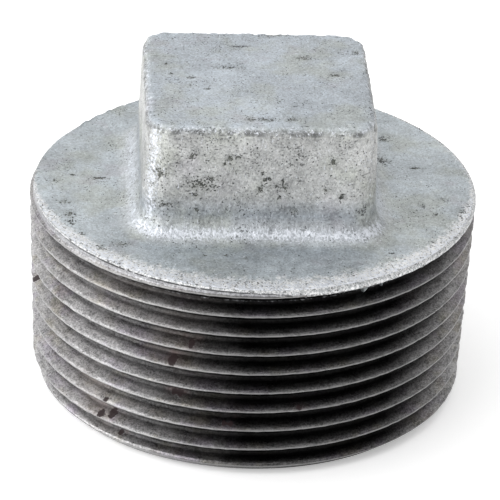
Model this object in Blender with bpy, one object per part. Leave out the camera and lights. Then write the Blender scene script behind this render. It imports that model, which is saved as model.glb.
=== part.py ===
"""Square-head pipe plug with an R 1 1/2 (DN 40) male taper thread, in metres, +Z up.

The open end stands on Z = 0, the axis is Z, and the flats of the square face along X and Y.
The plug is a single hollow casting. It is modelled as its three regions, the threaded skirt, the crown
plate that closes it and the square that a wrench turns, with a narrow gap between one and the next.
"""

import math

import bmesh
import bpy

MM = 0.001
GAP = 0.3 * MM

# Whitworth pipe thread: 11 turns to the inch, 55 degrees, 1 in 16 on the diameter, right hand.
PITCH = 25.4 * MM / 11
FLANK_ANGLE = math.radians(27.5)
THREAD_DEPTH = 0.640327 * PITCH
TIP_RADIUS = 0.137329 * PITCH
RADIUS_TAPER = 1 / 32
GAUGE_RADIUS = 47.803 * MM / 2
GAUGE_HEIGHT = 12.7 * MM
FRONT_CREST_HEIGHT = 19.46 * MM

# Skirt.
BODY_HEIGHT = 22.6 * MM
BORE_RADIUS = 18.5 * MM
CORE_DRAFT = math.tan(math.radians(1.5))
END_FACE_RADIUS = 22.1 * MM
RIM_FACE_RADIUS = 23.45 * MM
RIM_EDGE_DROP = 1.1 * MM
RIM_EDGE_WIDTH = 0.75 * MM

# Crown plate and square.
PLATE_THICKNESS = 5.2 * MM
PLATE_SEAT_RADIUS = 19.8 * MM
PLATE_BASE = BODY_HEIGHT - PLATE_THICKNESS
TOTAL_HEIGHT = 35.1 * MM
SQUARE_ACROSS_TOP = 24.3 * MM
SQUARE_DRAFT = math.tan(math.radians(1.5))
SQUARE_CORNER = 3.1 * MM
TOP_EDGE_RADIUS = 1.0 * MM
FOOT_FILLET = 2.5 * MM
CORE_ACROSS = 13.0 * MM
CORE_CORNER = 3.0 * MM
SQUARE_TOP_WALL = 5.2 * MM

# Facets.
SIDES = 60
POINTS_PER_CORNER = SIDES // 4
FILLET_STEPS = 4
SMOOTH_ANGLE = math.radians(35)


def clear_scene():
    for old in list(bpy.data.objects):
        bpy.data.objects.remove(old)


def make_material(name, colour, metallic, roughness):
    material = bpy.data.materials.new(name)
    material.use_nodes = True
    shader = material.node_tree.nodes["Principled BSDF"]
    shader.inputs["Base Color"].default_value = (*colour, 1)
    shader.inputs["Metallic"].default_value = metallic
    shader.inputs["Roughness"].default_value = roughness
    return material


def cut_thread_material():
    return make_material("bare_cut_iron", (0.20, 0.20, 0.20), 0.85, 0.42)


def crown_zinc_material():
    return make_material("crown_zinc", (0.55, 0.59, 0.61), 0.75, 0.48)


def square_zinc_material():
    return make_material("square_zinc", (0.58, 0.62, 0.64), 0.75, 0.46)


def make_object(name, mesh_builder, parent=None):
    """One object, smooth where it is round and sharp at its edges."""
    mesh = bpy.data.meshes.new(name)
    bmesh.ops.recalc_face_normals(mesh_builder, faces=mesh_builder.faces)
    mesh_builder.to_mesh(mesh)
    mesh_builder.free()
    mesh.shade_smooth()
    mesh.set_sharp_from_angle(angle=SMOOTH_ANGLE)
    made = bpy.data.objects.new(name, mesh)
    made.parent = parent
    bpy.context.scene.collection.objects.link(made)
    return made


def circle(radius, height):
    """Points of a round section, numbered to match square_section."""
    step = math.tau / SIDES
    angles = [(index + 0.5) * step for index in range(SIDES)]
    return [(radius * math.cos(a), radius * math.sin(a), height) for a in angles]


def square_section(half_width, corner, height):
    """Points of a square section with round corners, one arc for each corner."""
    points = []
    centre = half_width - corner
    for quarter in range(4):
        turn = quarter * math.pi / 2
        side_x = math.copysign(centre, math.cos(turn + math.pi / 4))
        side_y = math.copysign(centre, math.sin(turn + math.pi / 4))
        for step in range(POINTS_PER_CORNER):
            angle = turn + step / (POINTS_PER_CORNER - 1) * math.pi / 2
            x = side_x + corner * math.cos(angle)
            y = side_y + corner * math.sin(angle)
            points.append((x, y, height))
    return points


def skin(sections, closed_round=False):
    """A shell over a row of sections. It closes on its first section, or with a flat face at each end."""
    shell = bmesh.new()
    rings = [[shell.verts.new(point) for point in section] for section in sections]
    pairs = list(zip(rings, rings[1:]))
    if closed_round:
        pairs.append((rings[-1], rings[0]))
    else:
        shell.faces.new(rings[0])
        shell.faces.new(rings[-1])
    for lower, upper in pairs:
        for index in range(SIDES):
            after = (index + 1) % SIDES
            shell.faces.new((lower[index], lower[after], upper[after], upper[index]))
    return shell


def crest_radius(height):
    """Radius over the thread crests, which is the gauge radius at the gauge plane."""
    return GAUGE_RADIUS + (height - GAUGE_HEIGHT) * RADIUS_TAPER


def thread_form():
    """One pitch of the rounded Whitworth form, from root to root, as (axial place, depth under the crest)."""
    arc_half = math.pi / 2 - FLANK_ANGLE
    reach = TIP_RADIUS * math.sin(arc_half)
    rise = TIP_RADIUS * (1 - math.cos(arc_half))
    return [
        (0, THREAD_DEPTH),
        (reach, THREAD_DEPTH - rise),
        (PITCH / 2 - reach, rise),
        (PITCH / 2, 0),
        (PITCH / 2 + reach, rise),
        (PITCH - reach, THREAD_DEPTH - rise),
    ]


def thread_blank():
    """A solid core with a helical thread, longer than the skirt at both ends."""
    form = thread_form()
    turns = math.ceil(BODY_HEIGHT / PITCH) + 4
    front = -math.pi / 2
    bottom = FRONT_CREST_HEIGHT - (turns - 2.5) * PITCH
    blank = bmesh.new()
    columns = []
    for side in range(SIDES):
        angle = (side + 0.5) * math.tau / SIDES
        lead = PITCH * (angle - front) / math.tau
        column = []
        for step in range(turns * len(form) + 1):
            turn, place = divmod(step, len(form))
            height = bottom + lead + turn * PITCH + form[place][0]
            radius = crest_radius(height) - form[place][1]
            column.append(blank.verts.new((radius * math.cos(angle), radius * math.sin(angle), height)))
        columns.append(column)
    columns.append(columns[0][len(form):])
    for left, right in zip(columns, columns[1:]):
        for step in range(len(right) - 1 if right is columns[-1] else len(left) - 1):
            blank.faces.new((left[step], right[step], right[step + 1], left[step + 1]))
    return close_blank(blank, columns, len(form))


def close_blank(blank, columns, points_per_turn):
    """Both ends of the blank, each a fan from the axis to the helical rim and its one-pitch step."""
    first = columns[0]
    last = columns[-2]
    low_rim = [column[0] for column in columns]
    low_rim += first[points_per_turn - 1:0:-1]
    high_rim = [column[-1] for column in columns[:-1]]
    high_rim += last[-2:-points_per_turn - 1:-1]
    for rim, offset in ((low_rim, -PITCH), (high_rim, PITCH)):
        level = sum(vert.co.z for vert in rim) / len(rim)
        centre = blank.verts.new((0, 0, level + offset))
        for start, end in zip(rim, rim[1:] + rim[:1]):
            blank.faces.new((centre, start, end))
    return blank


def skirt_envelope():
    """What is left between the core with the plate's seat, the end faces and their bevelled outer edges."""
    clear = crest_radius(BODY_HEIGHT) + PITCH
    bevel_height = clear - END_FACE_RADIUS
    edge_height = BODY_HEIGHT - RIM_EDGE_DROP
    outline = [
        (BORE_RADIUS, 0),
        (END_FACE_RADIUS, 0),
        (clear, bevel_height),
        (clear, edge_height - RIM_EDGE_DROP),
        (RIM_FACE_RADIUS + RIM_EDGE_WIDTH, edge_height),
        (RIM_FACE_RADIUS + RIM_EDGE_WIDTH * 0.65, BODY_HEIGHT - RIM_EDGE_DROP * 0.3),
        (RIM_FACE_RADIUS, BODY_HEIGHT),
        (PLATE_SEAT_RADIUS, BODY_HEIGHT),
        (bore_radius(PLATE_BASE), PLATE_BASE),
    ]
    return skin([circle(radius, height) for radius, height in outline], closed_round=True)


def bore_radius(height):
    return BORE_RADIUS - height * CORE_DRAFT


def make_threaded_skirt(parent):
    skirt = make_object("threaded_skirt", thread_blank(), parent)
    skirt.data.materials.append(cut_thread_material())
    envelope = make_object("skirt_envelope", skirt_envelope(), parent)
    envelope.hide_render = True
    envelope.display_type = "WIRE"
    trim = skirt.modifiers.new("trim_to_length_and_bore", "BOOLEAN")
    trim.operation = "INTERSECT"
    trim.solver = "EXACT"
    trim.object = envelope


def square_half_width(height):
    """Half the width over the flats at a height above the open end, before the edge rounding."""
    return SQUARE_ACROSS_TOP / 2 + (TOTAL_HEIGHT - height) * SQUARE_DRAFT


def core_section(height):
    return square_section(CORE_ACROSS / 2, CORE_CORNER, height)


def make_crown_plate(parent):
    """The closing plate, with the fillet that runs up into the square and the core's way through."""
    sections = [
        circle(bore_radius(PLATE_BASE) - GAP, 0),
        circle(PLATE_SEAT_RADIUS - GAP, PLATE_THICKNESS),
    ]
    for step in range(FILLET_STEPS + 1):
        turn = step / FILLET_STEPS * math.pi / 2
        rise = FOOT_FILLET * (1 - math.cos(turn))
        flare = FOOT_FILLET * (1 - math.sin(turn))
        half_width = square_half_width(BODY_HEIGHT + rise) + flare
        sections.append(square_section(half_width, SQUARE_CORNER + flare, PLATE_THICKNESS + rise))
    sections.append(core_section(PLATE_THICKNESS + FOOT_FILLET))
    sections.append(core_section(0))
    plate = make_object("crown_plate", skin(sections, closed_round=True), parent)
    plate.data.materials.append(crown_zinc_material())
    plate.location.z = PLATE_BASE


def make_square_head(parent):
    """The drafted square with rounded upright and top edges, cored from below."""
    seat = BODY_HEIGHT + FOOT_FILLET + GAP
    top = TOTAL_HEIGHT - seat
    core_top = top - SQUARE_TOP_WALL
    edge_base = TOTAL_HEIGHT - TOP_EDGE_RADIUS
    sections = [core_section(core_top), core_section(0)]
    sections.append(square_section(square_half_width(seat), SQUARE_CORNER, 0))
    for step in range(FILLET_STEPS + 1):
        turn = step / FILLET_STEPS * math.pi / 2
        inset = TOP_EDGE_RADIUS * (1 - math.cos(turn))
        height = edge_base + TOP_EDGE_RADIUS * math.sin(turn)
        half_width = square_half_width(edge_base) - inset
        sections.append(square_section(half_width, SQUARE_CORNER - inset, height - seat))
    head = make_object("square_head", skin(sections), parent)
    head.data.materials.append(square_zinc_material())
    head.location.z = seat


def main():
    clear_scene()
    plug = bpy.data.objects.new("pipe_plug", None)
    bpy.context.scene.collection.objects.link(plug)
    make_threaded_skirt(plug)
    make_crown_plate(plug)
    make_square_head(plug)


main()
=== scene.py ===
"""Looks of the square-head pipe plug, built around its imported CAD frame. Metres, +Z up."""

import math

import bpy
import numpy as np
from mathutils import Matrix, Vector, noise


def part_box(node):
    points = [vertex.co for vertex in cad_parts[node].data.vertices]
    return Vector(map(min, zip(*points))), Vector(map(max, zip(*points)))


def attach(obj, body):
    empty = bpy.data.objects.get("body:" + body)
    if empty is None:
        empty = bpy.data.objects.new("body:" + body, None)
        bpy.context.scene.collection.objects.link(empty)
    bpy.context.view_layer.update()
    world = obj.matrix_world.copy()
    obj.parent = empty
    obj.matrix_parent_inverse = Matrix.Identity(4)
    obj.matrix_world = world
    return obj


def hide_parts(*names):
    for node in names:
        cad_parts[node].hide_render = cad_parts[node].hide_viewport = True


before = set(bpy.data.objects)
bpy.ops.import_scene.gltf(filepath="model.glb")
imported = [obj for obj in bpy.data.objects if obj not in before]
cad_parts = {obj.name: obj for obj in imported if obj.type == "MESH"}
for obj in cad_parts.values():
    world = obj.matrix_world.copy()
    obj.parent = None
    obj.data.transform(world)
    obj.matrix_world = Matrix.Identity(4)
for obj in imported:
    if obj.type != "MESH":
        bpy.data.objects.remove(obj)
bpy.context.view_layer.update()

MM = 0.001

# Sizes read from the frame.
BODY_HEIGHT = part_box("threaded_skirt")[1].z
TOTAL_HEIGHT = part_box("square_head")[1].z
HEAD_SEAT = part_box("square_head")[0].z
HEAD_BASE_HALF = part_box("square_head")[1].x
PLATE_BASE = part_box("crown_plate")[0].z
FOOT_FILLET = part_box("crown_plate")[1].z - BODY_HEIGHT

# Thread of the CAD skirt: R 1 1/2, right hand, with its crests a little worn.
PITCH = 25.4 * MM / 11
FLANK_ANGLE = math.radians(27.5)
CREST_TIP_RADIUS = 0.11 * MM
ROOT_TIP_RADIUS = 0.45 * MM
TIP_CUT = 1 / math.sin(FLANK_ANGLE) - 1
THREAD_DEPTH = PITCH / 2 / math.tan(FLANK_ANGLE) - TIP_CUT * (CREST_TIP_RADIUS + ROOT_TIP_RADIUS)
RADIUS_TAPER = 1 / 32
CREST_WEAR = 0.04 * MM
GAUGE_RADIUS = 47.803 * MM / 2 - CREST_WEAR
GAUGE_HEIGHT = 12.7 * MM
FRONT_CREST_HEIGHT = 19.46 * MM
END_FACE_RADIUS = 22.1 * MM
RIM_FACE_RADIUS = 23.75 * MM
RIM_EDGE_DROP = 0.5 * MM
RIM_EDGE_WIDTH = 0.40 * MM

# The last groove runs out below the crown: degrees along it from +X, and the depth left there (mm).
RUN_OUT_TURN = (125, 145, 165, 182, 215, 262, 278)
RUN_OUT_DEPTH = (1.5, 1.2, 0.75, 0.45, 0.30, 0.20, 0.03)

# Core and square, as in the CAD.
BORE_RADIUS = 18.5 * MM
CORE_DRAFT = math.tan(math.radians(1.5))
CORE_HALF = 6.5 * MM
CORE_CORNER = 3.0 * MM
SQUARE_TOP_WALL = 5.2 * MM
CORE_TOP = TOTAL_HEIGHT - SQUARE_TOP_WALL
SQUARE_DRAFT = math.tan(math.radians(1.5))
SQUARE_CORNER = 3.1 * MM
TOP_EDGE_RADIUS = 1.0 * MM

# Mesh density.
THREAD_COLUMNS = 540
SIDE_POINTS = 112
RING_POINTS = 4 * SIDE_POINTS

# On the left the crown's edge stands back from the trace of the groove: degrees round the axis, width (mm).
SEAM_TURN = (185, 205, 230, 262, 277, 281)
SEAM_WIDTH = (0.0, 0.05, 0.10, 0.09, 0.07, 0.0)

# The zinc skin hangs over the rim, furthest at the right of the front: degrees round the axis, drop (mm).
DRAPE_TURN = (0, 60, 120, 180, 205, 272, 283, 330, 360)
DRAPE_DROP = (0.45, 0.30, 0.10, 0.10, 0.28, 0.34, 0.75, 0.65, 0.45)

# Nothing on the rim goes further out than this, so that the skin stays inside the CAD's box.
RIM_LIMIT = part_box("threaded_skirt")[1].x - 0.01 * MM

# Size of the tears round the skin's edge, as a share of its radius.
RAGGED_STEP = 0.025

# Zones of the casting that its surface and its material tell apart.
ZONES = ("edge", "side", "shade", "foot", "seam", "lip", "core")

# The thread mesh ends this far under the crown face, where the zinc skin covers it.
SKIN = 0.07 * MM

# Rust on the thread: (degrees round the axis, height, radius), in millimetres.
RUST_SPOTS = (
    (-107.7, 15.2, 0.42),
    (-112.7, 12.8, 0.55),
    (-112.6, 8.6, 0.40),
    (-110.8, 8.6, 0.40),
    (-131.3, 3.7, 0.60),
    (-134.4, 3.3, 0.45),
    (-132.2, 5.5, 0.30),
    (-172.0, 12.3, 0.60),
    (-98.6, 6.0, 0.30),
    (-96.8, 6.0, 0.30),
    (-128.9, 1.5, 0.35),
    (-79.5, 8.2, 0.30),
    (40.0, 12.0, 0.90),
    (118.0, 7.0, 0.80),
)
# Nicks in the crests: (degrees round the axis, height, radius, depth), in millimetres.
NICKS = (
    (-128.7, 4.4, 0.42, 0.50),
    (-120.7, 1.8, 0.35, 0.35),
    (-155.0, 17.1, 0.30, 0.35),
    (-150.4, 17.2, 0.22, 0.30),
    (-143.0, 12.7, 0.25, 0.25),
    (-62.0, 14.0, 0.22, 0.20),
    (25.0, 8.2, 0.40, 0.35),
    (95.0, 16.0, 0.35, 0.35),
    (160.0, 5.0, 0.30, 0.30),
)

# A mark narrower than this is one solid spot. A wider one is a cluster of specks.
SPOT_LIMIT = 0.31

# How far a mark reaches out from its face, in millimetres. The front is drafted, so it needs more.
FRONT_REACH = 9
FLAT_REACH = 0.6

# Dark pits and smudges in the zinc, in millimetres: (X, Z, half-length, half-width, depth) on the front of
# the square, and (X, Y, half-length, half-width, depth) on its top and on the crown.
FRONT_PITS = (
    (-3.3, 31.6, 0.35, 0.45, 0.14),
    (-3.9, 31.0, 0.25, 0.25, 0.08),
    (-2.4, 31.8, 0.25, 0.22, 0.07),
    (-0.1, 28.1, 0.32, 0.55, 0.14),
    (0.1, 30.0, 0.25, 0.30, 0.08),
    (0.8, 29.4, 0.30, 0.35, 0.06),
    (0.3, 29.2, 0.25, 0.25, 0.07),
    (2.5, 28.4, 0.32, 0.35, 0.15),
    (2.3, 29.2, 0.24, 0.30, 0.11),
    (1.6, 28.5, 0.28, 0.22, 0.08),
    (2.0, 27.2, 0.28, 0.30, 0.09),
    (7.4, 31.4, 0.28, 0.50, 0.07),
    (6.8, 28.2, 0.32, 0.30, 0.07),
    (8.5, 27.4, 0.28, 0.45, 0.09),
    (3.6, 25.7, 0.42, 0.32, 0.08),
    (-6.6, 25.7, 0.42, 0.28, 0.08),
    (-10.6, 29.3, 0.40, 0.22, 0.10),
    (-10.6, 29.7, 0.90, 0.55, 0.03),
    (-6.2, 28.6, 1.50, 0.80, 0.04),
    (-5.3, 29.2, 0.60, 0.40, 0.08),
    (-7.3, 31.8, 0.40, 0.28, 0.07),
    (-10.0, 26.2, 1.10, 0.40, 0.05),
    (-6.9, 27.4, 0.45, 0.30, 0.06),
    (10.9, 25.6, 0.45, 0.60, 0.06),
)
TOP_MARKS = (
    (-1.2, -9.7, 0.45, 0.50, 0.10),
    (0.6, -9.8, 1.20, 0.45, 0.06),
    (3.0, -9.6, 0.90, 0.60, 0.08),
    (-3.0, 2.7, 1.40, 0.50, 0.05),
    (-7.2, 0.1, 0.40, 0.35, 0.08),
    (-9.7, 3.4, 0.30, 0.35, 0.06),
    (-9.2, 1.0, 0.30, 0.25, 0.04),
    (-1.6, 8.1, 0.90, 0.35, 0.05),
    (5.2, 5.3, 0.90, 0.45, 0.05),
    (11.0, 7.0, 0.45, 0.50, 0.07),
    (2.4, 11.2, 1.40, 0.40, 0.05),
    (8.2, 1.2, 0.60, 0.35, 0.03),
    (-5.4, -2.6, 0.35, 0.25, 0.05),
)
CROWN_MARKS = (
    (14.9, 11.4, 1.00, 0.90, 0.05),
    (14.4, 5.8, 0.90, 0.80, 0.07),
    (17.8, 4.3, 0.90, 0.30, 0.07),
    (17.8, -4.6, 0.40, 0.35, 0.12),
    (19.2, -6.5, 0.50, 0.60, 0.06),
    (20.3, -3.0, 0.45, 0.50, 0.05),
    (13.9, -15.3, 0.30, 0.25, 0.06),
    (22.0, -5.6, 0.40, 0.45, 0.05),
    (-21.2, 0.0, 0.50, 0.40, 0.05),
    (-19.5, 1.4, 0.40, 0.30, 0.03),
    (-20.4, -5.0, 0.80, 0.60, 0.03),
    (-19.9, -7.8, 0.80, 0.80, 0.05),
    (-19.7, -9.5, 0.60, 0.60, 0.05),
    (-18.4, -12.0, 0.45, 0.40, 0.07),
    (-14.3, -14.2, 0.90, 0.60, 0.05),
    (-16.4, -15.1, 0.80, 0.50, 0.04),
    (-5.8, -16.4, 0.30, 0.25, 0.06),
    (-3.7, -16.4, 0.35, 0.20, 0.06),
    (-3.0, -16.5, 0.25, 0.22, 0.08),
    (-1.6, -17.0, 0.35, 0.20, 0.05),
    (2.5, -14.2, 0.30, 0.20, 0.04),
    (-16.7, 0.7, 1.00, 0.25, 0.03),
)


def crest_radius(height):
    """Radius over the thread crests, which is the gauge radius at the gauge plane."""
    return GAUGE_RADIUS + (height - GAUGE_HEIGHT) * RADIUS_TAPER


def crest_height(angle):
    """Height of one crest as it climbs round the axis. The front is at minus a right angle."""
    return FRONT_CREST_HEIGHT + PITCH * (angle + math.pi / 2) / math.tau


def depth_under_crest(axial):
    """Rounded 55 degree form: depth under the crest, at an axial distance from any crest's middle."""
    place = np.abs((axial / PITCH + 0.5) % 1 - 0.5) * PITCH
    to_root = PITCH / 2 - place
    crest = CREST_TIP_RADIUS - np.sqrt(np.maximum(CREST_TIP_RADIUS**2 - place**2, 0))
    root = THREAD_DEPTH - ROOT_TIP_RADIUS + np.sqrt(np.maximum(ROOT_TIP_RADIUS**2 - to_root**2, 0))
    flank = place / math.tan(FLANK_ANGLE) - TIP_CUT * CREST_TIP_RADIUS
    on_crest = place < CREST_TIP_RADIUS * math.cos(FLANK_ANGLE)
    on_root = to_root < ROOT_TIP_RADIUS * math.cos(FLANK_ANGLE)
    return np.where(on_crest, crest, np.where(on_root, root, flank))


def bevel_limit(height):
    """Largest radius that the bevels at the two ends leave."""
    low = END_FACE_RADIUS + height
    drop = BODY_HEIGHT - height
    edge = RIM_FACE_RADIUS + RIM_EDGE_WIDTH * np.sqrt(np.clip(drop / RIM_EDGE_DROP, 0, 1))
    below = np.where(drop > RIM_EDGE_DROP, (drop - RIM_EDGE_DROP) * 2, 0)
    return np.minimum(low, edge + below)


def noise_at(points, size, octaves=3):
    """Fractal noise, about -1 to 1, at each point, with features of about this size."""
    scaled = points / size
    return np.array([noise.fractal(Vector(point), 1.0, 2.0, octaves) for point in scaled])


def crest_wear(angle, height, crest_share):
    """Depth lost from the crests: a little all round, with a ragged edge, and more at the nicks."""
    around = np.stack([np.cos(angle), np.sin(angle), height / (8 * MM)], -1)
    ragged = noise_at(around, 0.035, 3)
    wear = crest_share**3 * (0.05 + 0.06 * ragged) * MM
    for degrees, level, size, deep in NICKS:
        along = (angle - math.radians(degrees)) * GAUGE_RADIUS / (size * MM)
        up = (height - level * MM) / (size * MM)
        wear += deep * MM * np.exp(-(along**2) - up**2) * crest_share
    return wear


def thread_surface(angle, height):
    """Radius of the cut thread, how near each point is to a crest, and how far the groove has run out."""
    over_crest = height - crest_height(angle)
    full = depth_under_crest(over_crest)
    turn = np.degrees(np.where(over_crest > PITCH, angle + math.tau, angle))
    left = np.interp(turn, RUN_OUT_TURN, RUN_OUT_DEPTH) * MM
    depth = np.where(over_crest > 0, np.minimum(full, left), full)
    uncut = np.clip((full - depth) / (0.3 * MM), 0, 1)
    crest_share = np.clip(1 - depth / THREAD_DEPTH, 0, 1)
    depth = depth + crest_wear(angle, height, crest_share)
    radius = np.minimum(crest_radius(height) - depth, bevel_limit(height))
    return radius, crest_share, uncut


def rim_edge_radius(angle):
    """Radius at which the crown face ends, where the thread or the bevel cuts it."""
    return thread_surface(angle, np.full_like(angle, BODY_HEIGHT))[0]


def thread_rows():
    """Heights of the mesh rows over a crest datum, closer together on the crest and root arcs."""
    crest_reach = CREST_TIP_RADIUS * math.cos(FLANK_ANGLE)
    root_reach = ROOT_TIP_RADIUS * math.cos(FLANK_ANGLE)
    half = PITCH / 2
    flank = [crest_reach + (half - crest_reach - root_reach) * share for share in (0.25, 0.5, 0.75)]
    upward = [0, crest_reach / 2, crest_reach, *flank, half - root_reach, half - root_reach / 2]
    per_turn = upward + [half] + [PITCH - place for place in upward[:0:-1]]
    turns = math.ceil(BODY_HEIGHT / PITCH) + 3
    first = FRONT_CREST_HEIGHT - math.ceil(FRONT_CREST_HEIGHT / PITCH + 1) * PITCH
    rows = [first + turn * PITCH + place for turn in range(turns) for place in per_turn]
    return np.array(rows), len(per_turn)


def strip_faces(ids, wrap):
    """Quads between neighbouring columns of vertex numbers, with collapsed corners left out.

    The last column meets the first one this many rows further up, as a helix does after one turn.
    """
    faces = []
    lefts = [*ids.T[:-1], ids[:len(ids) - wrap, -1]]
    rights = [*ids.T[1:], ids[wrap:, 0]]
    for left, right in zip(lefts, rights):
        for low_left, low_right, high_right, high_left in zip(left, right, right[1:], left[1:]):
            corners = list(dict.fromkeys((low_left, low_right, high_right, high_left)))
            if len(corners) > 2:
                faces.append(corners)
    return faces


def ring_faces(first, second, count):
    """Quads between two rings of vertices that start at these numbers."""
    here = np.arange(count)
    after = (here + 1) % count
    return np.stack([first + here, first + after, second + after, second + here], -1).tolist()


def ring(radius, height, angle):
    """Points at these angles round the axis."""
    level = np.broadcast_to(height, angle.shape)
    return np.stack([radius * np.cos(angle), radius * np.sin(angle), level], -1)


def bore_radius(height):
    return BORE_RADIUS - height * CORE_DRAFT


def thread_angles():
    return -math.pi + np.arange(THREAD_COLUMNS) * math.tau / THREAD_COLUMNS


def thread_grid():
    """The helical outside: its faces, and each point's angle and height, with the two end loops first."""
    rows, per_turn = thread_rows()
    top = BODY_HEIGHT - SKIN
    angles = thread_angles()
    heights = np.clip(rows[:, None] + (crest_height(angles) - FRONT_CREST_HEIGHT)[None, :], 0, top)
    inside = (heights > 0) & (heights < top)
    columns = np.broadcast_to(np.arange(THREAD_COLUMNS), heights.shape)
    ids = np.zeros(heights.shape, int)
    ids[inside] = np.arange(inside.sum()) + 2 * THREAD_COLUMNS
    ids[heights <= 0] = columns[heights <= 0]
    ids[heights >= top] = columns[heights >= top] + THREAD_COLUMNS
    inside_angles = np.broadcast_to(angles, heights.shape)[inside]
    point_angles = np.concatenate([angles, angles, inside_angles])
    end_heights = np.repeat([0, top], THREAD_COLUMNS)
    return strip_faces(ids, per_turn), point_angles, np.concatenate([end_heights, heights[inside]])


def thread_inner_loops(outer_bottom, outer_top):
    """Loops across the end face, up the hidden inner wall and out again under the crown's edge."""
    angles = thread_angles()
    top = BODY_HEIGHT - SKIN
    clear = 0.35 * MM
    wall = BORE_RADIUS + clear
    return [
        ring(outer_bottom * 0.97, 0, angles),
        ring(outer_bottom * 0.91, 0, angles),
        ring(wall + 0.2 * MM, 0, angles),
        ring(wall + 0.06 * MM, 0.06 * MM, angles),
        ring(wall, 0.2 * MM, angles),
        ring(bore_radius(top) + clear, top - 1.6 * MM, angles),
        ring(outer_top - 0.9 * MM, top - 1.0 * MM, angles),
        ring(outer_top - 0.35 * MM, top - 0.25 * MM, angles),
        ring(outer_top - 0.12 * MM, top - 0.03 * MM, angles),
    ]


def thread_mesh():
    """The cut skirt as one closed ring, with the masks that its material reads."""
    faces, angles, heights = thread_grid()
    radius, crest, uncut = thread_surface(angles, heights)
    outside = ring(radius, heights, angles)
    loops = thread_inner_loops(radius[:THREAD_COLUMNS], radius[THREAD_COLUMNS:2 * THREAD_COLUMNS])
    starts = [len(outside) + place * THREAD_COLUMNS for place in range(len(loops))]
    numbers = [0, *starts, THREAD_COLUMNS]
    for first, second in zip(numbers, numbers[1:]):
        faces += [face[::-1] for face in ring_faces(first, second, THREAD_COLUMNS)]
    points = np.concatenate([outside, *loops])
    rest = len(points) - len(outside)
    masks = {
        "crest": np.concatenate([crest, np.full(rest, 0.5)]),
        "uncut": np.concatenate([uncut, np.zeros(rest)]),
        "lit_side": lit_side_share(points),
        "rust": rust_mask(points, 1.25),
        "halo": rust_mask(points, 2.4),
        **rim_masks(points),
    }
    return points, faces, masks


def rim_masks(points):
    """Where the zinc covers the top of the thread, and where the last trace of the groove shows."""
    angle = np.arctan2(points[:, 1], points[:, 0])
    below = BODY_HEIGHT - points[:, 2]
    cover = np.clip(1 - below / (2 * drape_drop(angle)), 0, 1)
    return {"cover": cover, "trace": seam_share(angle)}


def lit_side_share(points):
    """Painted light round the cut metal: bright on the left where the key light falls, near black at the
    front, between at the right, and less near the top.
    """
    angle = np.arctan2(points[:, 1], points[:, 0])
    left = np.clip((-np.cos(angle) - 0.06) / 0.62, 0, 1)
    right = np.clip((np.cos(angle) - 0.62) / 0.36, 0, 1) * 0.75
    high = np.clip((points[:, 2] - 19.2 * MM) / (1.0 * MM), 0, 1)
    return np.maximum(left, right) * (1 - 0.45 * high)


def rust_mask(points, spread):
    """How near each point of the thread is to the middle of a rust spot."""
    angle = np.arctan2(points[:, 1], points[:, 0])
    mask = np.zeros(len(points))
    for degrees, level, size in RUST_SPOTS:
        turn = (angle - math.radians(degrees) + math.pi) % math.tau - math.pi
        along = turn * GAUGE_RADIUS / (size * spread * MM)
        up = (points[:, 2] - level * MM) / (size * spread * 0.7 * MM)
        mask = np.maximum(mask, np.exp(-(along**2) - up**2))
    return mask


def square_side(share, half_width, corner):
    """Points on the side that faces -Y, from one corner's middle to the next, by share of its length."""
    arc = corner * math.pi / 4
    straight = 2 * (half_width - corner)
    run = share * (2 * arc + straight)
    centre = half_width - corner
    spread = max(corner, 1e-9)
    first = -0.75 * math.pi + run / spread
    last = -0.5 * math.pi + (run - arc - straight) / spread
    x = np.where(run < arc, -centre + corner * np.cos(first), run - arc - centre)
    x = np.where(run > arc + straight, centre + corner * np.cos(last), x)
    y = np.where(run < arc, -centre + corner * np.sin(first), -half_width)
    y = np.where(run > arc + straight, -centre + corner * np.sin(last), y)
    return x, y


def square_ring(half_width, corner, height):
    """A ring of RING_POINTS points round a square with round corners."""
    x, y = square_side(np.arange(SIDE_POINTS) / SIDE_POINTS, half_width, corner)
    sides = [(x, y), (-y, x), (-x, -y), (y, -x)]
    return np.concatenate([np.stack([a, b, np.full(SIDE_POINTS, height)], -1) for a, b in sides])


def circle_angles():
    return -0.75 * math.pi + np.arange(RING_POINTS) * math.tau / RING_POINTS


def square_patch(half_width, corner, height):
    """A grid that fills the square: its points, its quads, and its outer points' numbers in ring order."""
    reach = SIDE_POINTS // 2
    width = SIDE_POINTS + 1
    points = np.zeros((width, width, 3))
    points[:, :, 2] = height
    for level in range(1, reach + 1):
        share = level / reach
        x, y = square_side(np.arange(2 * level) / (2 * level), half_width * share, corner * share**2)
        low, high = reach - level, reach + level
        run = np.arange(2 * level)
        points[low + run, low, 0], points[low + run, low, 1] = x, y
        points[high, low + run, 0], points[high, low + run, 1] = -y, x
        points[high - run, high, 0], points[high - run, high, 1] = -x, -y
        points[low, high - run, 0], points[low, high - run, 1] = y, -x
    number = np.arange(width * width).reshape(width, width)
    run = np.arange(SIDE_POINTS)
    last = SIDE_POINTS
    sides = [number[run, 0], number[last, run], number[last - run, last], number[0, last - run]]
    outer = np.concatenate(sides)
    quads = np.stack([number[:-1, :-1], number[1:, :-1], number[1:, 1:], number[:-1, 1:]], -1)
    return points.reshape(-1, 3), quads.reshape(-1, 4).tolist(), outer


def steps(first, last, count):
    """Evenly spaced values after the first one, up to the last one."""
    return [first + (last - first) * (place + 1) / count for place in range(count)]


def square_half_width(height):
    """Half the width over the flats, from the CAD head's base and draft."""
    return HEAD_BASE_HALF - (height - HEAD_SEAT) * SQUARE_DRAFT


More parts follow.
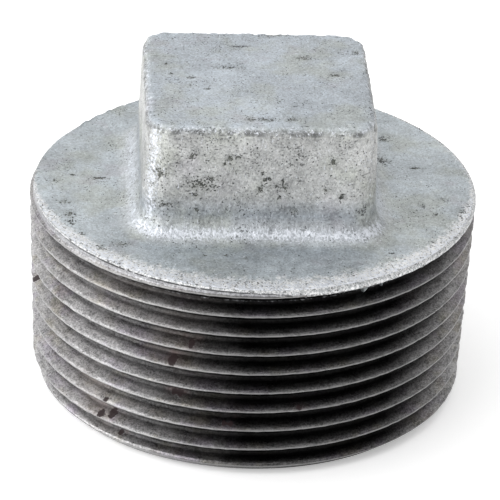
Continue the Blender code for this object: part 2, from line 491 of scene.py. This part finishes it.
def head_rings():
    """Rings from the top edge of the square down to the foot of its fillet, with their zones."""
    rings = []
    edge_base = TOTAL_HEIGHT - TOP_EDGE_RADIUS
    fillet_top = BODY_HEIGHT + FOOT_FILLET
    for turn in steps(0, math.pi / 2, 8):
        inset = TOP_EDGE_RADIUS * (1 - math.sin(turn))
        height = edge_base + TOP_EDGE_RADIUS * math.cos(turn)
        half = square_half_width(edge_base) - inset
        # The edge zone carries crumbly relief, painted glints on the rounding and the painted shade line
        # below it.
        zones = {"edge": math.sin(turn * 2) ** 0.5, "side": max(0, math.sin(turn) * 2 - 1)}
        rings.append((square_ring(half, SQUARE_CORNER - inset, height), zones))
    for height in steps(edge_base, fillet_top, 36):
        fade = max(0, 1 - (edge_base - height) / (0.6 * MM))
        # The shade zone is the painted shade band: darker towards the foot of the square and into the top
        # of the fillet.
        low = max(0, 1 - (height - fillet_top) / (2.2 * MM))
        zones = {"edge": 0.5 * fade, "side": 1, "shade": low}
        rings.append((square_ring(square_half_width(height), SQUARE_CORNER, height), zones))
    for turn in steps(0, math.pi / 2, 12):
        flare = FOOT_FILLET * (1 - math.cos(turn))
        height = fillet_top - FOOT_FILLET * math.sin(turn)
        half = square_half_width(height) + flare
        # The foot zone carries the painted highlight band along the fillet.
        zones = {"foot": math.sin(turn * 2) ** 5, "side": math.cos(turn), "shade": max(0, 1 - turn)}
        rings.append((square_ring(half, SQUARE_CORNER + flare, height), zones))
    return rings


def drape_drop(angle):
    """How far the zinc skin hangs over the rim."""
    return np.interp(np.degrees(angle) % 360, DRAPE_TURN, DRAPE_DROP) * MM


def seam_share(angle):
    """How far the crown's edge stands back from the trace of the groove, as a share of the most."""
    return np.interp(np.degrees(angle) % 360, SEAM_TURN, SEAM_WIDTH) / max(SEAM_WIDTH)


def ragged_round(angles):
    """Fine noise round the rim, for torn edges."""
    return noise_at(ring(1.0, 0, angles), RAGGED_STEP, 4)


def crown_edge_radius(angles):
    """Radius of the crown face's ragged edge, a little inside the edge of the thread."""
    ragged = ragged_round(angles)
    seam = seam_share(angles) * max(SEAM_WIDTH)
    back = seam * (1 + 2.5 * ragged) + 0.10 * ragged + 0.01
    return rim_edge_radius(angles) - back.clip(0.0, 0.6) * MM


def crown_rings(foot_ring):
    """Rings from the fillet's foot out over the crown face to its edge."""
    rings = []
    angles = circle_angles()
    rim = ring(crown_edge_radius(angles), BODY_HEIGHT, angles)
    for share in steps(0, 1, 36):
        rounding = max(0, share - 0.95) / 0.05
        points = foot_ring + (rim - foot_ring) * share
        points[:, 2] = BODY_HEIGHT - 0.03 * MM * rounding**2
        rings.append((points, {}))
    return rings


def lip_rings():
    """Rings of the zinc skin that hangs over the rim and turns in under it."""
    rings = []
    angles = circle_angles()
    seam = seam_share(angles)
    edge = crown_edge_radius(angles)
    inset = edge - rim_edge_radius(angles)
    drape = (drape_drop(angles) * (1 + 2.2 * ragged_round(angles))).clip(0.05 * MM)
    for share in (0.35, 0.7, 1.0):
        height = BODY_HEIGHT - drape * share
        over = thread_surface(angles, height)[0] + inset * (1 - share) + 0.03 * MM
        points = ring(np.minimum(over, RIM_LIMIT), height, angles)
        rings.append((points, {"seam": seam, "lip": share}))
    low = BODY_HEIGHT - drape - 0.04 * MM
    under = ring(thread_surface(angles, low)[0] - 0.05 * MM, low, angles)
    rings.append((under, {"seam": seam, "lip": 1}))
    rings.append((ring(edge - 0.6 * MM, low - 0.2 * MM, angles), {"seam": seam}))
    return rings


def bore_rings():
    """Rings down the hidden wall, round the lip of the bore and up inside it to the edge of the roof."""
    rings = []
    angles = circle_angles()
    hidden = 0.6 * MM
    lip = 0.35 * MM
    wall_fillet = 2.0 * MM
    for height in (BODY_HEIGHT - 2.5 * MM, PLATE_BASE, lip + 0.3 * MM):
        rings.append(ring(bore_radius(height) + hidden, height, angles))
    rings.append(ring(bore_radius(lip) + 0.3 * MM, lip, angles))
    for height in steps(lip, PLATE_BASE - wall_fillet, 30):
        rings.append(ring(bore_radius(height), height, angles))
    corner = bore_radius(PLATE_BASE - wall_fillet) - wall_fillet
    for turn in steps(0, math.pi / 2, 7):
        radius = corner + wall_fillet * math.cos(turn)
        rings.append(ring(radius, PLATE_BASE - wall_fillet * (1 - math.sin(turn)), angles))
    return rings


def pocket_rings(bore_ring):
    """Rings in across the roof of the bore and up into the square pocket of the core, to its middle."""
    rings = []
    mouth_fillet = 1.2 * MM
    roof_fillet = 1.5 * MM
    mouth = square_ring(CORE_HALF + mouth_fillet, CORE_CORNER + mouth_fillet, PLATE_BASE)
    for share in steps(0, 1, 10):
        rings.append(bore_ring + (mouth - bore_ring) * share)
    for turn in steps(0, math.pi / 2, 6):
        flare = mouth_fillet * (1 - math.sin(turn))
        height = PLATE_BASE + mouth_fillet * (1 - math.cos(turn))
        rings.append(square_ring(CORE_HALF + flare, CORE_CORNER + flare, height))
    for height in steps(PLATE_BASE + mouth_fillet, CORE_TOP - roof_fillet, 14):
        rings.append(square_ring(CORE_HALF, CORE_CORNER, height))
    for turn in steps(0, math.pi / 2, 5):
        inset = roof_fillet * (1 - math.cos(turn))
        height = CORE_TOP - roof_fillet * (1 - math.sin(turn))
        rings.append(square_ring(CORE_HALF - inset, CORE_CORNER - inset, height))
    roof = rings[-1]
    for share in (0.75, 0.5, 0.25, 0.08):
        rings.append(roof * np.array([share, share, 1]))
    return rings


def casting_mesh():
    """The galvanised casting as one closed shell: square, crown face, and the cored inside."""
    patch_half = square_half_width(TOTAL_HEIGHT - TOP_EDGE_RADIUS) - TOP_EDGE_RADIUS
    points, faces, outer = square_patch(patch_half, SQUARE_CORNER - TOP_EDGE_RADIUS, TOTAL_HEIGHT)
    outside = head_rings()
    outside += crown_rings(outside[-1][0]) + lip_rings()
    core = bore_rings()
    core += pocket_rings(core[-1])
    inside = [(ring_points, {"core": 1}) for ring_points in core]
    blocks = [points]
    zones = {name: [np.zeros(len(points))] for name in ZONES}
    last = outer
    start = len(points)
    for ring_points, ring_zones in outside + inside:
        blocks.append(ring_points)
        for name in ZONES:
            zones[name].append(np.broadcast_to(ring_zones.get(name, 0.0), RING_POINTS))
        here = start + np.arange(RING_POINTS)
        faces += np.stack([here, np.roll(here, -1), np.roll(last, -1), last], -1).tolist()
        last = here
        start += RING_POINTS
    faces.append(last.tolist())
    zones = {name: np.concatenate(values) for name, values in zones.items()}
    return np.concatenate(blocks), faces, zones


def placed_marks():
    """Every mark of the zinc as (centre, half-sizes, depth, whether it is on the front), in millimetres."""
    marks = []
    for x, z, length, width, deep in FRONT_PITS:
        y = -square_half_width(z * MM) / MM
        marks.append(((x, y, z), (length, FRONT_REACH, width), deep, True))
    for level, flat_marks in ((TOTAL_HEIGHT, TOP_MARKS), (BODY_HEIGHT, CROWN_MARKS)):
        for x, y, length, width, deep in flat_marks:
            marks.append(((x, y, level / MM), (length, width, FLAT_REACH), deep, False))
    return marks


def mark_depth(points, normals):
    """Depth of the pits at each point, how dark it is there, and how dark the small spots make it."""
    depth = np.zeros(len(points))
    dark = np.zeros(len(points))
    spot = np.zeros(len(points))
    faces_front = normals[:, 1] < -0.5
    for centre, size, deep, on_front in placed_marks():
        offset = (points / MM - centre) / size
        near = np.exp(-(offset**2).sum(1))
        if on_front:
            near = near * faces_front
        depth = np.maximum(depth, near * deep * MM)
        dark = np.maximum(dark, near)
        if min(size) < SPOT_LIMIT:
            spot = np.maximum(spot, near)
    return depth, dark, spot


def foot_streaks(points):
    """Noise drawn out down and away from the square, for the runs of zinc at its foot."""
    streak_size = np.array([0.55, 5.0, 5.0]) * MM
    side_on = np.abs(points[:, 0]) > np.abs(points[:, 1])
    turned = np.where(side_on[:, None], points[:, [1, 0, 2]], points)
    return noise_at(turned / streak_size, 1.0, 2)


def cast_skin(mesh, points, zones):
    """Moves each point along its normal, as a cast, dipped surface lies, and gives the marks' masks."""
    normals = np.zeros(len(points) * 3, np.float32)
    mesh.vertex_normals.foreach_get("vector", normals)
    normals = normals.reshape(-1, 3).astype(float)
    waves = noise_at(points, 5.0 * MM, 2)
    lumps = noise_at(points + 1, 1.3 * MM, 3)
    crumbs = noise_at(points + 2, 0.7 * MM, 2)
    depth, dark, spot = mark_depth(points, normals)
    corner = corner_share(points) * zones["side"] ** 2
    edge = np.maximum(zones["edge"], corner * 0.7 * (1 - zones["foot"]))
    # drips_and_glints: relief of zinc runs at the foot, and the painted glints there, strongest where the
    # foot faces the front.
    drips_and_glints = zones["foot"] * np.clip(0.25 - 2 * normals[:, 1], 0.25, 1)
    fringe = fringe_share(points)

    rise = (0.035 * waves + (0.018 + 0.018 * zones["side"]) * lumps - 0.055) * MM
    rise += edge * (0.15 * crumbs + 0.10 * lumps - 0.06) * MM
    rise += drips_and_glints * 0.07 * foot_streaks(points) * MM
    rise += fringe * (0.08 * crumbs + 0.03 * lumps - 0.03) * MM
    rise = np.where(zones["core"] > 0, 1.2 * rise, rise)
    rise -= depth
    held = (zones["core"] > 0) & (points[:, 2] < 2 * MM)
    rise = np.where(held, 0, rise)
    marks = {"dark": dark, "spot": spot, "corner": corner, "fringe": fringe, "drips_and_glints": drips_and_glints}
    return points + normals * rise[:, None], marks


def fringe_share(points):
    """One at the crown's rim, fading inward, widest at the front and absent at the back; it brings pale
    zinc, specks and painted highlights to the rim.
    """
    radius = np.hypot(points[:, 0], points[:, 1]).clip(MM)
    facing = -points[:, 1] / radius
    width = (1.0 + 2.8 * np.clip(facing, 0, 1)) * MM
    share = np.clip(1 - (RIM_LIMIT - radius) / width, 0, 1)
    near_face = points[:, 2] > BODY_HEIGHT - 1.2 * MM
    return share * near_face * np.clip(0.7 + facing, 0, 1)


def corner_share(points):
    """One on the square's upright corners at the left, less at the right, nothing on the flats: for the
    corners' relief and their painted highlights, stronger on the left where the key light falls.
    """
    across = np.abs(points[:, :2])
    gap = np.abs(across[:, 0] - across[:, 1])
    share = np.clip(1.2 - gap / (1.6 * MM), 0, 1)
    return np.where(points[:, 0] < 0, share, 0.3 * share)


def make_piece(name, points, faces, material, nodes):
    """A mesh object that stands for these CAD nodes and rides with the part's one body."""
    mesh = bpy.data.meshes.new(name)
    mesh.from_pydata(points.tolist(), [], faces)
    mesh.validate()
    mesh.shade_smooth()
    piece = bpy.data.objects.new(name, mesh)
    bpy.context.scene.collection.objects.link(piece)
    mesh.materials.append(material)
    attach(piece, "root")
    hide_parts(*nodes)
    return piece


def set_attribute(mesh, name, values):
    layer = mesh.attributes.new(name, "FLOAT", "POINT")
    layer.data.foreach_set("value", np.asarray(values, np.float32))


def make_thread():
    points, faces, masks = thread_mesh()
    piece = make_piece("cut_thread", points, faces, cut_iron(), ["threaded_skirt"])
    for name, values in masks.items():
        set_attribute(piece.data, name, values)


def make_casting():
    points, faces, zones = casting_mesh()
    nodes = ["crown_plate", "square_head"]
    piece = make_piece("galvanised_casting", points, faces, zinc(), nodes)
    moved, marks = cast_skin(piece.data, points, zones)
    piece.data.vertices.foreach_set("co", moved.astype(np.float32).ravel())
    piece.data.update()
    for name, values in {**zones, **marks}.items():
        set_attribute(piece.data, name, values)


class Recipe:
    """A material's node tree, built by short calls that each return an output socket. Places are in mm."""

    def __init__(self, name):
        self.material = bpy.data.materials.new(name)
        self.material.use_nodes = True
        self.tree = self.material.node_tree
        self.shader = self.tree.nodes["Principled BSDF"]
        place = self.tree.nodes.new("ShaderNodeTexCoord").outputs["Object"]
        self.place = self.scaled(place, (1 / MM, 1 / MM, 1 / MM))

    def feed(self, socket, value):
        if isinstance(value, bpy.types.NodeSocket):
            self.tree.links.new(value, socket)
        elif isinstance(value, tuple) and len(value) == 3 and socket.type == "RGBA":
            socket.default_value = (*value, 1)
        else:
            socket.default_value = value

    def scaled(self, vector, factors):
        node = self.tree.nodes.new("ShaderNodeVectorMath")
        node.operation = "MULTIPLY"
        self.feed(node.inputs[0], vector)
        node.inputs[1].default_value = factors
        return node.outputs["Vector"]

    def noise(self, per_mm, detail=3.0, roughness=0.55, stretch=(1, 1, 1), shift=0.0):
        node = self.tree.nodes.new("ShaderNodeTexNoise")
        node.noise_dimensions = "4D"
        node.inputs["W"].default_value = shift
        node.inputs["Scale"].default_value = per_mm
        node.inputs["Detail"].default_value = detail
        node.inputs["Roughness"].default_value = roughness
        self.feed(node.inputs["Vector"], self.scaled(self.place, stretch))
        return node.outputs["Fac"]

    def attribute(self, name):
        node = self.tree.nodes.new("ShaderNodeAttribute")
        node.attribute_name = name
        return node.outputs["Fac"]

    def span(self, value, low, high, out_low=0.0, out_high=1.0):
        node = self.tree.nodes.new("ShaderNodeMapRange")
        node.interpolation_type = "SMOOTHSTEP"
        self.feed(node.inputs["Value"], value)
        for socket, number in zip(node.inputs[1:5], (low, high, out_low, out_high)):
            socket.default_value = number
        return node.outputs["Result"]

    def math(self, operation, first, second=0.0):
        node = self.tree.nodes.new("ShaderNodeMath")
        node.operation = operation
        self.feed(node.inputs[0], first)
        self.feed(node.inputs[1], second)
        return node.outputs["Value"]

    def product(self, *values):
        total = values[0]
        for value in values[1:]:
            total = self.math("MULTIPLY", total, value)
        return total

    def total(self, *values):
        total = values[0]
        for value in values[1:]:
            total = self.math("ADD", total, value)
        return total

    def largest(self, *values):
        most = values[0]
        for value in values[1:]:
            most = self.math("MAXIMUM", most, value)
        return most

    def mix(self, share, first, second, blend="MIX"):
        node = self.tree.nodes.new("ShaderNodeMix")
        node.data_type = "RGBA"
        node.blend_type = blend
        self.feed(node.inputs["Factor"], share)
        self.feed(node.inputs[6], first)
        self.feed(node.inputs[7], second)
        return node.outputs[2]

    def grey(self, value):
        node = self.tree.nodes.new("ShaderNodeCombineColor")
        for socket in node.inputs:
            self.feed(socket, value)
        return node.outputs["Color"]

    def height_of(self):
        node = self.tree.nodes.new("ShaderNodeSeparateXYZ")
        self.feed(node.inputs[0], self.place)
        return node.outputs["Z"]

    def bump(self, height, distance, strength=1.0):
        node = self.tree.nodes.new("ShaderNodeBump")
        node.inputs["Strength"].default_value = strength
        node.inputs["Distance"].default_value = distance
        self.feed(node.inputs["Height"], height)
        return node.outputs["Normal"]

    def finish(self, **values):
        for name, value in values.items():
            self.feed(self.shader.inputs[name.replace("_", " ").title()], value)
        return self.material


def zinc_tint(r, on_top):
    """Pale blue-grey, warmer on the sides, with olive and lilac stains, a painted shade band above the
    fillet, a painted highlight band at the foot, and pale patches that at the front of the rim are partly
    painted highlight.
    """
    flat = r.mix(on_top, (0.525, 0.57, 0.60), (0.53, 0.575, 0.62))
    colour = r.mix(r.attribute("side"), flat, (0.50, 0.505, 0.50))
    # Painted shade: a darker blue-grey band above the fillet.
    colour = r.mix(r.product(r.attribute("shade"), 0.7), colour, (0.41, 0.45, 0.50))
    olive = r.span(r.noise(0.22, 3, shift=7), 0.46, 0.66, 0, 0.5)
    colour = r.mix(olive, colour, (0.46, 0.48, 0.43))
    lilac = r.span(r.noise(0.3, 3, shift=13), 0.55, 0.70, 0, 0.35)
    colour = r.mix(lilac, colour, (0.44, 0.42, 0.46))
    # Painted highlight: a whitish band along the fillet.
    colour = r.mix(r.product(r.attribute("foot"), 0.55), colour, (0.66, 0.70, 0.76))
    # Pale patches all over; at the front of the rim they are partly painted highlight.
    patchy = r.total(r.product(r.attribute("fringe"), 0.6), r.noise(1.5, 4, 0.7, shift=22))
    return r.mix(r.span(patchy, 0.58, 0.86, 0, 0.95), colour, (0.86, 0.86, 0.86))


def zinc_tone(r, mottle, grain):
    """Light and dark of every size, from broad patches to grain, strongest on the sides and at the rim."""
    side = r.attribute("side")
    broad = r.span(r.noise(0.16, 3), 0.3, 0.7, 0.88, 1.10)
    tone = r.total(broad, r.span(mottle, 0.25, 0.75, -0.10, 0.10), r.span(grain, 0.3, 0.7, -0.20, 0.20))
    blotch = r.span(r.noise(0.55, 5, 0.65, shift=21), 0.35, 0.65, -0.16, 0.13)
    tone = r.total(tone, r.product(blotch, r.total(0.35, r.product(side, 0.65))))
    rough = r.span(r.noise(2.6, 4, 0.75, shift=14), 0.3, 0.7, -0.22, 0.22)
    return r.total(tone, r.product(r.total(side, r.attribute("fringe")), rough))


def zinc_dirt_and_shade(r, on_top):
    """One mask for the specks, the dashes, the solid spots, a painted shadow line along the seam, and the
    dark bites in the rim, denser on the hanging lip as painted shade under it.
    """
    dark = r.attribute("dark")
    fringe = r.attribute("fringe")
    crowding = r.span(r.noise(0.4, 3, shift=11), 0.45, 0.75)
    crowd = r.total(r.product(dark, 0.17), r.product(crowding, 0.08), r.product(r.attribute("side"), 0.008))
    crowd = r.total(crowd, r.product(fringe, 0.10), r.product(on_top, 0.01))
    specks = r.span(r.total(r.noise(4.6, 2, 0.6, shift=5), crowd), 0.65, 0.69)
    dashes = r.noise(2.6, 4, 0.7, stretch=(0.7, 2.0, 2.0), shift=9)
    dashes = r.total(dashes, r.product(dark, 0.08), r.product(on_top, 0.04))
    dashes = r.span(dashes, 0.64, 0.71, 0, 0.8)
    spots = r.total(r.attribute("spot"), r.product(r.noise(2.6, 5, 0.8, shift=19), 2.4))
    spots = r.span(spots, 1.86, 1.96)
    # Painted shadow: a broken dark line where the crown's edge stands back from the groove.
    seam = r.product(r.attribute("seam"), r.span(r.noise(1.1, 4, 0.7, shift=20), 0.40, 0.47))
    # Dark bites in the rim, with painted shade added on the lip that hangs over it.
    bites_and_shade = r.total(r.product(r.attribute("lip"), 0.17), r.product(fringe, 0.10))
    bites_and_shade = r.span(r.total(bites_and_shade, r.noise(1.9, 5, 0.8, shift=23)), 0.80, 0.86)
    return r.largest(specks, spots, dashes, seam, bites_and_shade)


def zinc_darkened(r, colour, dirt_and_shade):
    """The colour under its dirt and painted shadow, with a broken painted shade line below the top edge and
    stains round the marks.
    """
    colour = r.mix(r.product(dirt_and_shade, 0.95), colour, (0.018, 0.02, 0.018))
    # Painted shade: a broken dark line where the top edge rounds down into the sides.
    broken = r.span(r.noise(0.9, 4, 0.7, shift=15), 0.42, 0.58)
    below_edge = r.product(r.attribute("edge"), r.attribute("side"), broken)
    colour = r.mix(r.product(below_edge, 1.2), colour, (0.16, 0.165, 0.165))
    patchy = r.span(r.noise(1.2, 3, shift=2), 0.35, 0.6, 0.05, 0.40)
    return r.mix(r.product(r.attribute("dark"), patchy), colour, (0.25, 0.26, 0.22))


def zinc_bright(r):
    """One mask for painted highlights: glints on the rounded edges, the left-hand corners and the front of
    the rim, partly worn zinc, and white streaks at the foot of the square, partly runs of zinc.
    """
    fringe = r.attribute("fringe")
    wear_and_glint = r.largest(r.product(r.attribute("edge"), 0.5), r.attribute("corner"), fringe)
    sparkle = r.total(r.noise(3.6, 3, 0.7, shift=4), r.product(wear_and_glint, 0.19), r.product(fringe, 0.05))
    # Vertical streaks of zinc runs, painted white as highlights, strongest at the front of the foot.
    runs_and_glints = r.noise(2.0, 3, 0.7, stretch=(2.0, 2.0, 0.5), shift=6)
    runs_and_glints = r.total(runs_and_glints, r.product(r.attribute("drips_and_glints"), 0.20))
    return r.largest(r.span(sparkle, 0.60, 0.74, 0, 0.9), r.span(runs_and_glints, 0.60, 0.72, 0, 0.9))


def zinc():
    """Hot-dip zinc over a cast skin: mottled pale grey with grain, dark specks, painted shade lines, and
    bright edges that are partly wear and partly painted highlights.
    """
    r = Recipe("hot_dip_zinc")
    mottle = r.noise(0.8, 4, 0.6)
    grain = r.noise(4.2, 3, 0.7)
    on_top = r.span(r.height_of(), BODY_HEIGHT / MM + 4, BODY_HEIGHT / MM + 8)
    dirt_and_shade = zinc_dirt_and_shade(r, on_top)
    bright = zinc_bright(r)
    colour = r.mix(1.0, zinc_tint(r, on_top), r.grey(zinc_tone(r, mottle, grain)), "MULTIPLY")
    colour = zinc_darkened(r, colour, dirt_and_shade)
    # Painted highlights: glints on the edges, the corners and the rim, and white streaks at the foot.
    colour = r.mix(bright, colour, (0.84, 0.87, 0.93))
    colour = r.mix(r.product(r.attribute("core"), 0.45), colour, (0.22, 0.22, 0.21))

    grain_height = r.product(grain, r.total(0.5, r.product(r.attribute("side"), 0.5)))
    height = r.total(r.product(mottle, 0.5), grain_height, r.product(dirt_and_shade, -0.7), r.product(bright, 0.4))
    roughness = r.span(mottle, 0.3, 0.7, 0.38, 0.54)
    return r.finish(
        base_color=colour,
        metallic=r.total(0.88, r.product(dirt_and_shade, -0.6)),
        roughness=r.total(roughness, r.product(dirt_and_shade, 0.25), r.product(bright, -0.08)),
        normal=r.bump(height, 0.12 * MM, 0.8),
    )


def iron_metal(r, lines, grain, patches):
    """Bare metal: painted shade near black in the roots and at the front, painted light on the left,
    stains, and a bright crest line that is partly a burr and partly a painted highlight.
    """
    crest = r.attribute("crest")
    # lit_side is painted light: lighter on the left, darkest at the front.
    lit_side = r.attribute("lit_side")
    # Painted shade: near black in the roots, lighter towards the crests; on the lit side the grooves are
    # painted lighter.
    shaded_grooves = r.span(r.total(crest, r.product(lines, 0.35)), 0.30, 1.25, 0.008, 0.125)
    lit_grooves = r.span(crest, 0.04, 0.5, 0.08, 0.41)
    tone = r.total(shaded_grooves, r.product(lit_side, r.total(lit_grooves, r.product(shaded_grooves, -1.0))))
    vary = r.total(r.span(lines, 0.35, 0.65, 0.80, 1.20), r.span(grain, 0.34, 0.66, -0.50, 0.50))
    vary = r.total(vary, r.span(patches, 0.35, 0.7, -0.12, 0.15))
    colour = r.mix(1.0, (1.0, 0.985, 0.99), r.grey(r.product(tone, vary)), "MULTIPLY")
    olive = r.span(r.noise(0.22, 4, 0.65, shift=16), 0.52, 0.66, 0, 0.75)
    colour = r.mix(olive, colour, (0.90, 0.87, 0.74), "MULTIPLY")
    lilac = r.span(r.noise(0.20, 4, 0.65, shift=17), 0.50, 0.64, 0, 0.75)
    colour = r.mix(lilac, colour, (0.92, 0.86, 0.98), "MULTIPLY")
    brown = r.product(r.span(r.noise(0.12, 3, shift=1), 0.48, 0.68, 0, 0.25), lit_side)
    colour = r.mix(brown, colour, (0.26, 0.22, 0.20))
    # The bright crest line is partly a burr and partly a painted highlight.
    burr_and_glint = r.product(r.span(crest, 0.93, 0.99), r.span(r.noise(1.1, 3, 0.7, shift=5), 0.3, 0.55, 0.4, 1))
    return r.mix(r.product(burr_and_glint, 0.70), colour, (0.34, 0.34, 0.34))


def iron_scraped_skin(r):
    """Mask of the zinc that is scraped but not cut away, where the last groove runs out."""
    uncut = r.attribute("uncut")
    ragged = r.span(r.noise(1.8, 4, 0.7, shift=6), 0.3, 0.6, 0.3, 1)
    skin = r.total(uncut, r.product(r.noise(2.4, 4, 0.7, shift=18), 0.9))
    return r.product(r.span(skin, 0.60, 0.85), ragged, r.span(uncut, 0, 0.35))


def iron_rim(r, colour, cover, grain):
    """The colour under the speckled zinc that covers the rim, its white specks partly painted highlights,
    with a painted shadow along the groove's broken last trace.
    """
    # Speckled zinc over the rim; its white specks are partly painted highlights.
    coat = r.mix(r.span(grain, 0.40, 0.60), (0.42, 0.44, 0.45), (0.88, 0.88, 0.88))
    bitten = r.span(r.noise(1.9, 5, 0.8, shift=23), 0.55, 0.60)
    coat = r.mix(r.product(bitten, 0.9), coat, (0.03, 0.03, 0.03))
    colour = r.mix(r.product(cover, 0.95), colour, coat)
    # Painted shadow: a broken dark line along the groove's last trace, near the edge of the zinc.
    level = r.attribute("cover")
    near_edge = r.product(r.span(level, 0.22, 0.36), r.span(level, 0.62, 0.48))
    broken = r.span(r.noise(0.9, 4, 0.7, shift=25), 0.40, 0.48)
    trace = r.product(r.attribute("trace"), near_edge, broken)
    return r.mix(r.product(trace, 0.95), colour, (0.02, 0.02, 0.02))


def iron_rust(r):
    """Mask of the placed rust spots and of a few small stains."""
    spots = r.span(r.total(r.attribute("rust"), r.noise(2.2, 4, 0.7, shift=7)), 1.02, 1.12)
    stains = r.span(r.noise(1.4, 4, 0.7, shift=8), 0.68, 0.74, 0, 0.6)
    return r.largest(spots, r.product(stains, r.total(0.3, r.attribute("lit_side"))))


def cut_iron():
    """Bare thread cut in iron: painted shade in the roots grading to brighter crests, tool lines round it,
    grain and rust.
    """
    r = Recipe("bare_cut_iron")
    lines = r.noise(0.5, 4, 0.65, stretch=(1, 1, 10), shift=2)
    grain = r.noise(5.2, 3, 0.75, shift=3)
    patches = r.noise(0.45, 4, 0.6, stretch=(1, 1, 2), shift=4)
    skin = iron_scraped_skin(r)
    cover = r.total(r.attribute("cover"), r.product(r.noise(1.3, 4, 0.75, shift=24), 1.4))
    cover = r.span(cover, 1.14, 1.24)
    rust = iron_rust(r)

    colour = iron_metal(r, lines, grain, patches)
    scraped = r.span(r.total(grain, r.product(lines, 0.6)), 0.62, 0.98)
    scraped = r.mix(scraped, (0.30, 0.30, 0.32), (0.66, 0.67, 0.69))
    colour = r.mix(r.product(skin, 0.85), colour, scraped)
    colour = iron_rim(r, colour, cover, grain)
    bloom = r.product(r.attribute("halo"), r.span(r.noise(0.8, 3, shift=12), 0.35, 0.65, 0.0, 0.22))
    colour = r.mix(bloom, colour, (0.24, 0.15, 0.15))
    colour = r.mix(r.product(rust, 0.95), colour, (0.014, 0.002, 0.003))

    height = r.total(r.product(lines, 0.7), r.product(grain, 0.7), r.product(rust, 0.4))
    roughness = r.total(r.span(patches, 0.3, 0.7, 0.26, 0.36), r.product(rust, 0.35))
    return r.finish(
        base_color=colour,
        metallic=r.total(1.0, r.product(rust, -0.9)),
        roughness=r.total(roughness, r.product(skin, 0.12), r.product(cover, 0.1)),
        normal=r.bump(height, 0.06 * MM, 0.7),
    )


def pale_floor():
    """Nearly white and faintly glowing, so that the background stays pale behind the plug."""
    r = Recipe("pale_floor")
    shade = r.span(r.noise(0.01, 2), 0.3, 0.7)
    colour = r.mix(shade, (0.94, 0.94, 0.94), (0.96, 0.96, 0.96))
    glow = (1.0, 1.0, 1.0)
    return r.finish(base_color=colour, roughness=0.8, emission_color=glow, emission_strength=0.32)


def make_floor():
    reach = 3.0
    mesh = bpy.data.meshes.new("floor")
    corners = [(-reach, -reach, 0), (reach, -reach, 0), (reach, reach, 0), (-reach, reach, 0)]
    mesh.from_pydata(corners, [], [(0, 1, 2, 3)])
    mesh.materials.append(pale_floor())
    floor = bpy.data.objects.new("floor", mesh)
    bpy.context.scene.collection.objects.link(floor)


def make_light(name, azimuth, elevation, distance, size, radiance):
    """A soft box that faces the plug. Azimuth is measured from +X, and sizes are in metres."""
    width, height = size
    light = bpy.data.lights.new(name, "AREA")
    light.shape = "RECTANGLE"
    light.size = width
    light.size_y = height
    light.energy = radiance * width * height * math.pi
    lamp = bpy.data.objects.new(name, light)
    turn, rise = math.radians(azimuth), math.radians(elevation)
    toward = Vector((math.cos(turn) * math.cos(rise), math.sin(turn) * math.cos(rise), math.sin(rise)))
    target = Vector((0, 0, BODY_HEIGHT))
    lamp.location = target + toward * distance
    lamp.rotation_euler = toward.to_track_quat("Z", "Y").to_euler()
    bpy.context.scene.collection.objects.link(lamp)


def make_lights():
    world = bpy.data.worlds.new("studio")
    world.use_nodes = True
    background = world.node_tree.nodes["Background"]
    background.inputs["Color"].default_value = (1.0, 1.0, 1.0, 1)
    background.inputs["Strength"].default_value = 0.62
    bpy.context.scene.world = world
    bpy.context.scene.view_settings.view_transform = "Standard"
    make_light("left_box", azimuth=197, elevation=27, distance=0.6, size=(1.0, 0.55), radiance=1.75)
    make_light("back_box", azimuth=110, elevation=12, distance=0.7, size=(1.5, 0.35), radiance=0.6)
    make_light("top_box", azimuth=90, elevation=88, distance=0.7, size=(0.9, 0.9), radiance=0.65)


def make_camera():
    """A long lens above the front, rolled a little, with the crown above the middle of the view."""
    azimuth = math.radians(-3.8)
    elevation = math.radians(27.32)
    roll = math.radians(2.65)
    distance = 0.380
    lens = 253.1
    aim_drop = 1.1 * MM
    below = 6.27 * MM
    left = 0.31 * MM
    back = Vector((
        math.sin(azimuth) * math.cos(elevation),
        -math.cos(azimuth) * math.cos(elevation),
        math.sin(elevation),
    ))
    right = Vector((math.cos(azimuth), math.sin(azimuth), 0))
    up = back.cross(right)
    rolled_up = math.cos(roll) * up - math.sin(roll) * right
    rolled_right = math.cos(roll) * right + math.sin(roll) * up
    aim = Vector((0, 0, BODY_HEIGHT - aim_drop))
    eye = aim + distance * back
    toward = (eye - (aim - rolled_up * below - rolled_right * left)).normalized()
    across = rolled_up.cross(toward).normalized()
    turn = Matrix((across, toward.cross(across), toward)).transposed()
    lens_data = bpy.data.cameras.new("camera")
    lens_data.lens = lens
    lens_data.sensor_width = 36
    lens_data.clip_start = 0.01
    camera = bpy.data.objects.new("camera", lens_data)
    camera.matrix_world = Matrix.Translation(eye) @ turn.to_4x4()
    bpy.context.scene.collection.objects.link(camera)
    bpy.context.scene.camera = camera


make_thread()
make_casting()
make_floor()
make_lights()
make_camera()
